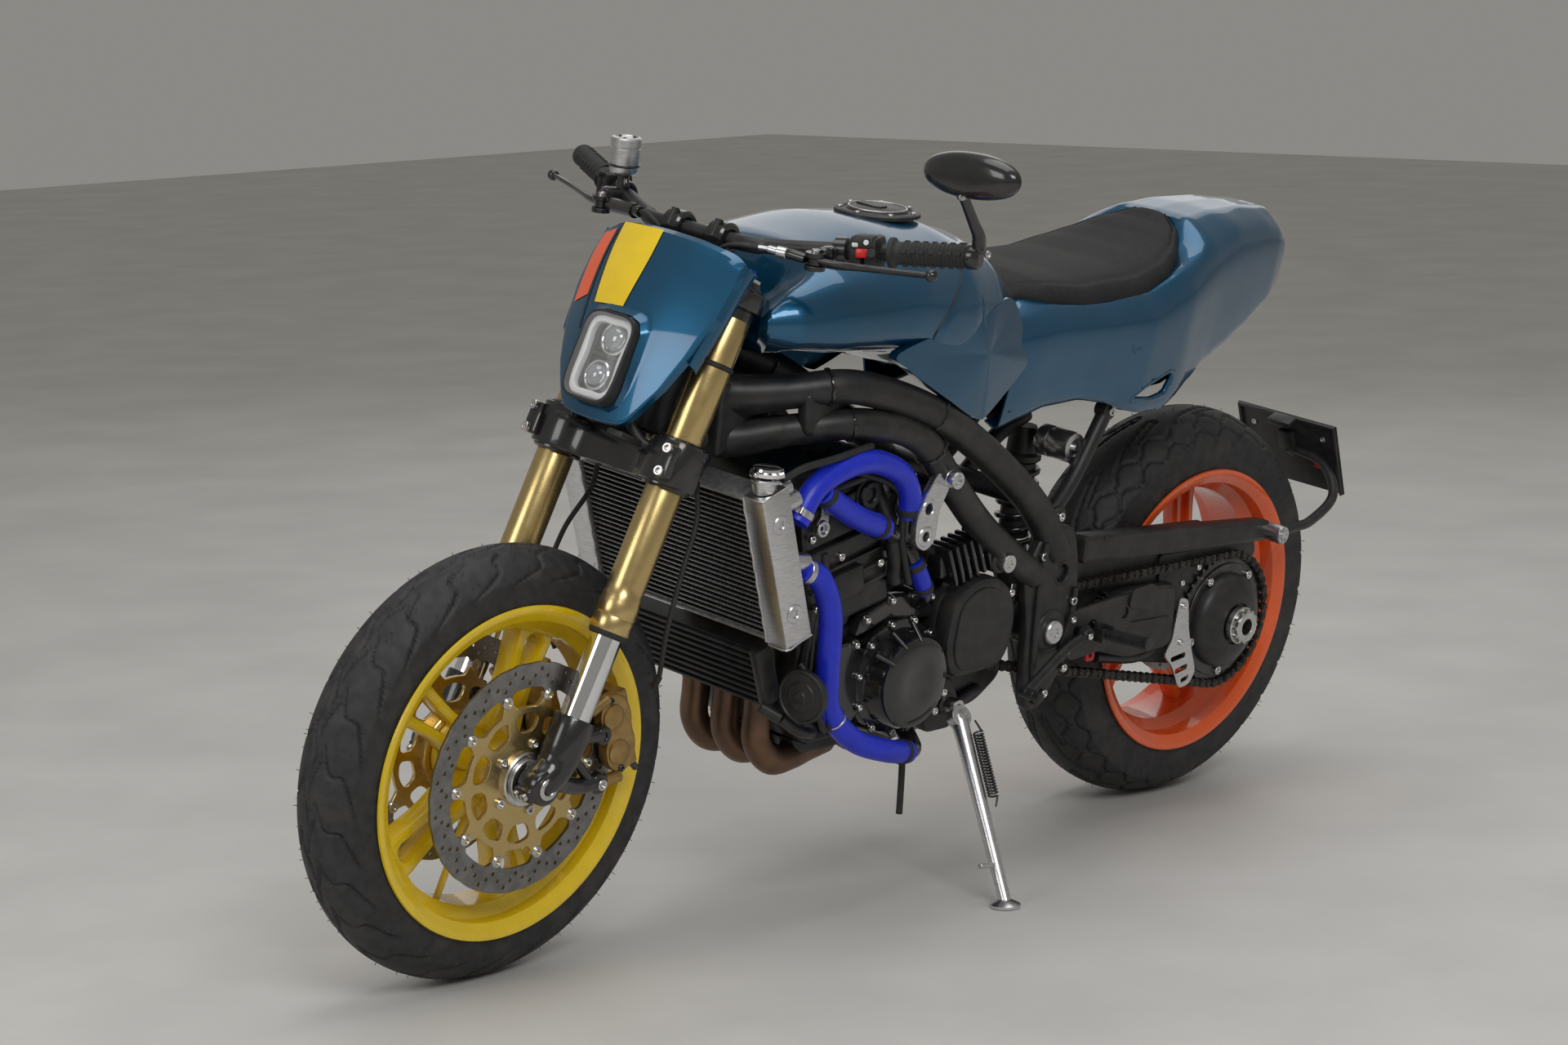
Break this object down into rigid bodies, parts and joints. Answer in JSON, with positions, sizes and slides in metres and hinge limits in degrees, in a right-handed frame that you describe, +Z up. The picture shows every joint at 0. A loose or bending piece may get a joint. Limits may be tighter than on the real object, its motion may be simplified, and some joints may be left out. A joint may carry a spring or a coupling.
{
  "type": "motorcycle",
  "caption": "Naked street motorcycle on its side stand, with upside-down fork, twin-tube frame, single-sided swing arm and number-plate headlight cowl.",
  "frame": {"origin": "on the floor, under the middle of the bounding box of the motorcycle as it leans on its side stand", "axes": "+X forward, +Y to the rider's left, +Z up; the motorcycle leans 8.3 degrees towards +Y"},
  "size_m": [2.0829, 0.8908, 1.1145],
  "materials": {
    "tyre": "moulded rubber",
    "rim_yellow": "gloss",
    "rim_orange": "gloss",
    "rotor_steel": "ground",
    "gold_anodised": "anodised satin",
    "chrome": "polished",
    "black_gloss": "gloss",
    "black_satin": "satin",
    "engine_black": "satin",
    "blue_paint": "metallic gloss",
    "bare_aluminium": "brushed",
    "rubber": "matt",
    "blue_silicone": "satin",
    "seat_cover": "textured vinyl",
    "red_plastic": "gloss",
    "header_bronze": "heat tinted",
    "chain_steel": "oiled",
    "steel": "plain",
    "black_plastic": "moulded"
  },
  "bodies": {
    "chassis": {"frame": "black_satin", "subframe": "black_satin", "crankcase": "engine_black", "cylinder_block": "engine_black", "engine_covers": "engine_black", "radiator": "bare_aluminium", "coolant_hoses": "blue_silicone", "exhaust_headers": "header_bronze", "silencer": "header_bronze", "horn": "black_plastic", "fuel_tank": "blue_paint", "tail_unit": "blue_paint", "seat_pad": "seat_cover", "rearset_plates": "black_satin", "breather_tube": "rubber", "shock_body": "bare_aluminium", "shock_spring": "black_satin"},
    "steering": {"upper_clamp": "black_gloss", "lower_clamp": "black_gloss", "fork_tube_left": "gold_anodised", "fork_tube_right": "gold_anodised", "handlebar": "black_satin", "left_grip": "rubber", "left_controls": "black_plastic", "brake_master": "black_satin", "headlight": "black_plastic", "front_cowl": "blue_paint", "brake_hoses": "rubber"},
    "fork_lower": {"stanchion_left": "chrome", "stanchion_right": "chrome", "fork_foot_left": "black_gloss", "fork_foot_right": "black_gloss", "front_axle": "steel", "caliper_left": "gold_anodised", "caliper_right": "gold_anodised"},
    "front_wheel": {"front_tyre": "tyre", "front_rim": "rim_yellow", "front_disc_left": "rotor_steel", "front_disc_right": "rotor_steel"},
    "swingarm": {"swingarm": "black_satin", "chain": "chain_steel", "plate_holder": "black_satin"},
    "rear_wheel": {"rear_tyre": "tyre", "rear_rim": "rim_orange", "rear_sprocket": "chain_steel"},
    "drive_sprocket": {"front_sprocket": "chain_steel"},
    "shock_rod": {"shock_shaft": "chrome"},
    "stand": {"side_stand": "bare_aluminium"},
    "left_foot_peg": {"left_peg": "black_satin"},
    "right_foot_peg": {"right_peg": "black_satin"},
    "gear_pedal": {"gear_lever": "black_satin"},
    "rear_brake_pedal": {"brake_pedal": "black_satin"},
    "throttle": {"throttle_grip": "rubber"},
    "clutch": {"clutch_lever": "black_satin"},
    "front_brake": {"brake_lever": "black_satin"},
    "mirror_arm": {"mirror_stem": "black_satin"},
    "mirror_glass": {"mirror_head": "black_gloss"},
    "rocker": {"rocker_switch": "red_plastic"},
    "fuel_cap": {"filler_cap": "bare_aluminium"},
    "coolant_cap": {"radiator_cap": "bare_aluminium"}
  },
  "joints": [
    {"name": "steer", "type": "hinge", "parent": "chassis", "child": "steering", "pos_m": [0.46714, -0.09538, 0.80627], "axis": [-0.4067, 0.1319, 0.904], "range_deg": [-20, 20]},
    {"name": "fork_travel", "type": "slide", "parent": "steering", "child": "fork_lower", "axis": [-0.4067, 0.1319, 0.904], "range_m": [-0.02, 0.085], "stiffness_N_per_m": 18000, "springref_m": -0.047, "deforming": ["brake_hoses"]},
    {"name": "front_spin", "type": "hinge", "parent": "fork_lower", "child": "front_wheel", "pos_m": [0.7405, -0.16946, 0.29846], "axis": [0, 0.9895, -0.1444], "continuous": true},
    {"name": "swing", "type": "hinge", "parent": "chassis", "child": "swingarm", "pos_m": [-0.2325, -0.15843, 0.37404], "axis": [0, 0.9895, -0.1444], "range_deg": [-4, 11], "stiffness_Nm_per_rad": 4400, "springref_deg": -4.58, "deforming": ["chain"]},
    {"name": "rear_spin", "type": "hinge", "parent": "swingarm", "child": "rear_wheel", "pos_m": [-0.6995, -0.16695, 0.31567], "axis": [0, 0.9895, -0.1444], "continuous": true},
    {"name": "sprocket_spin", "type": "hinge", "parent": "chassis", "child": "drive_sprocket", "pos_m": [-0.1095, -0.15742, 0.38097], "axis": [0, 0.9895, -0.1444], "continuous": true},
    {"name": "shock_stroke", "type": "slide", "parent": "chassis", "child": "shock_rod", "axis": [0, 0.1444, 0.9895], "range_m": [-0.00582, 0.01584], "deforming": ["shock_spring"]},
    {"name": "stand_fold", "type": "hinge", "parent": "chassis", "child": "stand", "pos_m": [-0.0345, -0.00945, 0.25226], "axis": [0.1145, 0.8681, 0.483], "range_deg": [0, 78], "stiffness_Nm_per_rad": 8, "springref_deg": -34.38},
    {"name": "left_peg_fold", "type": "hinge", "parent": "chassis", "child": "left_foot_peg", "pos_m": [-0.3475, 0.01115, 0.33111], "axis": [1, 0, 0], "range_deg": [0, 50]},
    {"name": "right_peg_fold", "type": "hinge", "parent": "chassis", "child": "right_foot_peg", "pos_m": [-0.3475, -0.33321, 0.38135], "axis": [-1, 0, 0], "range_deg": [0, 50]},
    {"name": "gear_shift", "type": "hinge", "parent": "chassis", "child": "gear_pedal", "pos_m": [-0.2995, -0.00184, 0.33907], "axis": [0, 0.9895, -0.1444], "range_deg": [-8, 8], "stiffness_Nm_per_rad": 20},
    {"name": "rear_brake", "type": "hinge", "parent": "chassis", "child": "rear_brake_pedal", "pos_m": [-0.2995, -0.31849, 0.38526], "axis": [0, 0.9895, -0.1444], "range_deg": [0, 10], "stiffness_Nm_per_rad": 40, "springref_deg": -11.46},
    {"name": "throttle_twist", "type": "hinge", "parent": "steering", "child": "throttle", "pos_m": [0.3098, -0.38728, 1.06013], "axis": [0.4051, 0.8843, -0.2323], "range_deg": [0, 70], "stiffness_Nm_per_rad": 0.5, "springref_deg": -28.65},
    {"name": "clutch_pull", "type": "hinge", "parent": "steering", "child": "clutch", "pos_m": [0.40644, 0.13498, 0.9589], "axis": [0, 0.1444, 0.9895], "range_deg": [0, 12], "stiffness_Nm_per_rad": 10, "springref_deg": -8.59},
    {"name": "front_brake_pull", "type": "hinge", "parent": "steering", "child": "front_brake", "pos_m": [0.40644, -0.27254, 1.01835], "axis": [0, -0.1444, -0.9895], "range_deg": [0, 12], "stiffness_Nm_per_rad": 10, "springref_deg": -8.59},
    {"name": "mirror_swivel", "type": "hinge", "parent": "steering", "child": "mirror_arm", "pos_m": [0.28469, 0.31353, 0.9643], "axis": [-0.4051, 0.9138, -0.03], "range_deg": [-15, 15]},
    {"name": "mirror_tilt", "type": "hinge", "parent": "mirror_arm", "child": "mirror_glass", "pos_m": [0.3565, 0.34973, 1.05178], "axis": [0, 0.9895, -0.1444], "range_deg": [-5, 5]},
    {"name": "switch_rock", "type": "hinge", "parent": "steering", "child": "rocker", "pos_m": [0.35761, 0.17853, 0.96744], "axis": [0.0217, 0.0424, 0.9989], "range_deg": [-3, 3]},
    {"name": "cap_open", "type": "hinge", "parent": "chassis", "child": "fuel_cap", "pos_m": [0.1225, -0.06749, 0.99744], "axis": [0, 0.9895, -0.1444], "range_deg": [0, 90]},
    {"name": "radiator_cap_turn", "type": "hinge", "parent": "chassis", "child": "coolant_cap", "pos_m": [0.4376, 0.07082, 0.67783], "axis": [0, 0.1444, 0.9895], "range_deg": [0, 45]}
  ],
  "couplings": [
    {"joint": "sprocket_spin", "follows": "rear_spin", "ratio": 2.3333},
    {"joint": "shock_stroke", "follows": "swing", "m_per_rad": 0.082}
  ]
}
